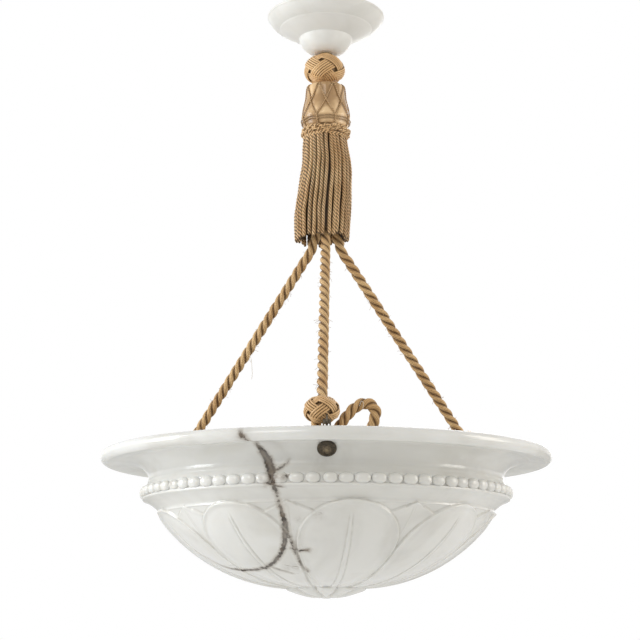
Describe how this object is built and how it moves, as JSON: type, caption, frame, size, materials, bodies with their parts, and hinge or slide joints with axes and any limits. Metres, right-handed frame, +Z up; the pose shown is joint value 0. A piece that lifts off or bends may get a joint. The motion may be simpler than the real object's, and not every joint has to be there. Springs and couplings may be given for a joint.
{
  "type": "alabaster bowl pendant",
  "caption": "Wide alabaster bowl light hung on twisted ropes that meet in a silk tassel below a turned stone canopy.",
  "frame": {"origin": "centre of the ceiling plate's top face, where it meets the ceiling", "axes": "+Z up, the lamp hangs down -Z; the front rope is towards -Y, +X is to the right seen from the front"},
  "size_m": [0.544, 0.544, 0.7415],
  "materials": {
    "alabaster": "polished white alabaster with dark brown veins",
    "canopy_stone": "satin white alabaster",
    "satin_cord": "smooth satin cord",
    "satin_head": "turned wood covered with satin",
    "tassel_cord": "twisted silk cord",
    "rope": "twisted rope",
    "bronze": "dark patina",
    "felt": "felt",
    "steel": "satin",
    "brass": "satin",
    "holder_brass": "aged",
    "ceramic": "glazed",
    "glass": "opal glass"
  },
  "bodies": {
    "root": {"ceiling_plate": "steel", "ceiling_hook": "steel"},
    "link": {"hook_link": "steel"},
    "drop": {"stem_eye": "steel", "stem": "brass", "canopy_washer": "brass", "canopy": "canopy_stone", "canopy_nut": "brass", "top_knot": "satin_cord", "tassel_head": "satin_head", "head_nut": "brass", "tassel_winding": "satin_cord", "tassel_skirt": "tassel_cord", "swivel_nut": "brass"},
    "cradle": {"hub_cap": "steel", "rope_block": "steel", "rope_front": "rope", "rope_right": "rope", "rope_left": "rope", "knot_front": "satin_cord", "knot_right": "satin_cord", "knot_left": "satin_cord", "rope_tail": "rope", "hanger_rings": "bronze", "hangers": "bronze", "bowl": "alabaster", "bolt_pads": "felt", "rim_bolts": "bronze", "rim_washers": "brass", "rim_nuts": "brass", "lamp_spider": "brass", "terminal_cup": "ceramic", "lampholders": "holder_brass", "holder_nuts": "brass", "bulb_caps": "steel", "bulb_glass": "glass"}
  },
  "joints": [
    {"name": "link_swing", "type": "hinge", "parent": "root", "child": "link", "pos_m": [0, 0, -0.025], "axis": [1, 0, 0], "range_deg": [-3.5, 3.5]},
    {"name": "lamp_swing", "type": "hinge", "parent": "link", "child": "drop", "pos_m": [0, 0, -0.03645], "axis": [0, 1, 0], "range_deg": [-3.5, 3.5]},
    {"name": "bowl_turn", "type": "hinge", "parent": "drop", "child": "cradle", "pos_m": [0, 0, -0.252], "axis": [0, 0, 1], "range_deg": [-15, 15], "stiffness_Nm_per_rad": 0.5}
  ]
}
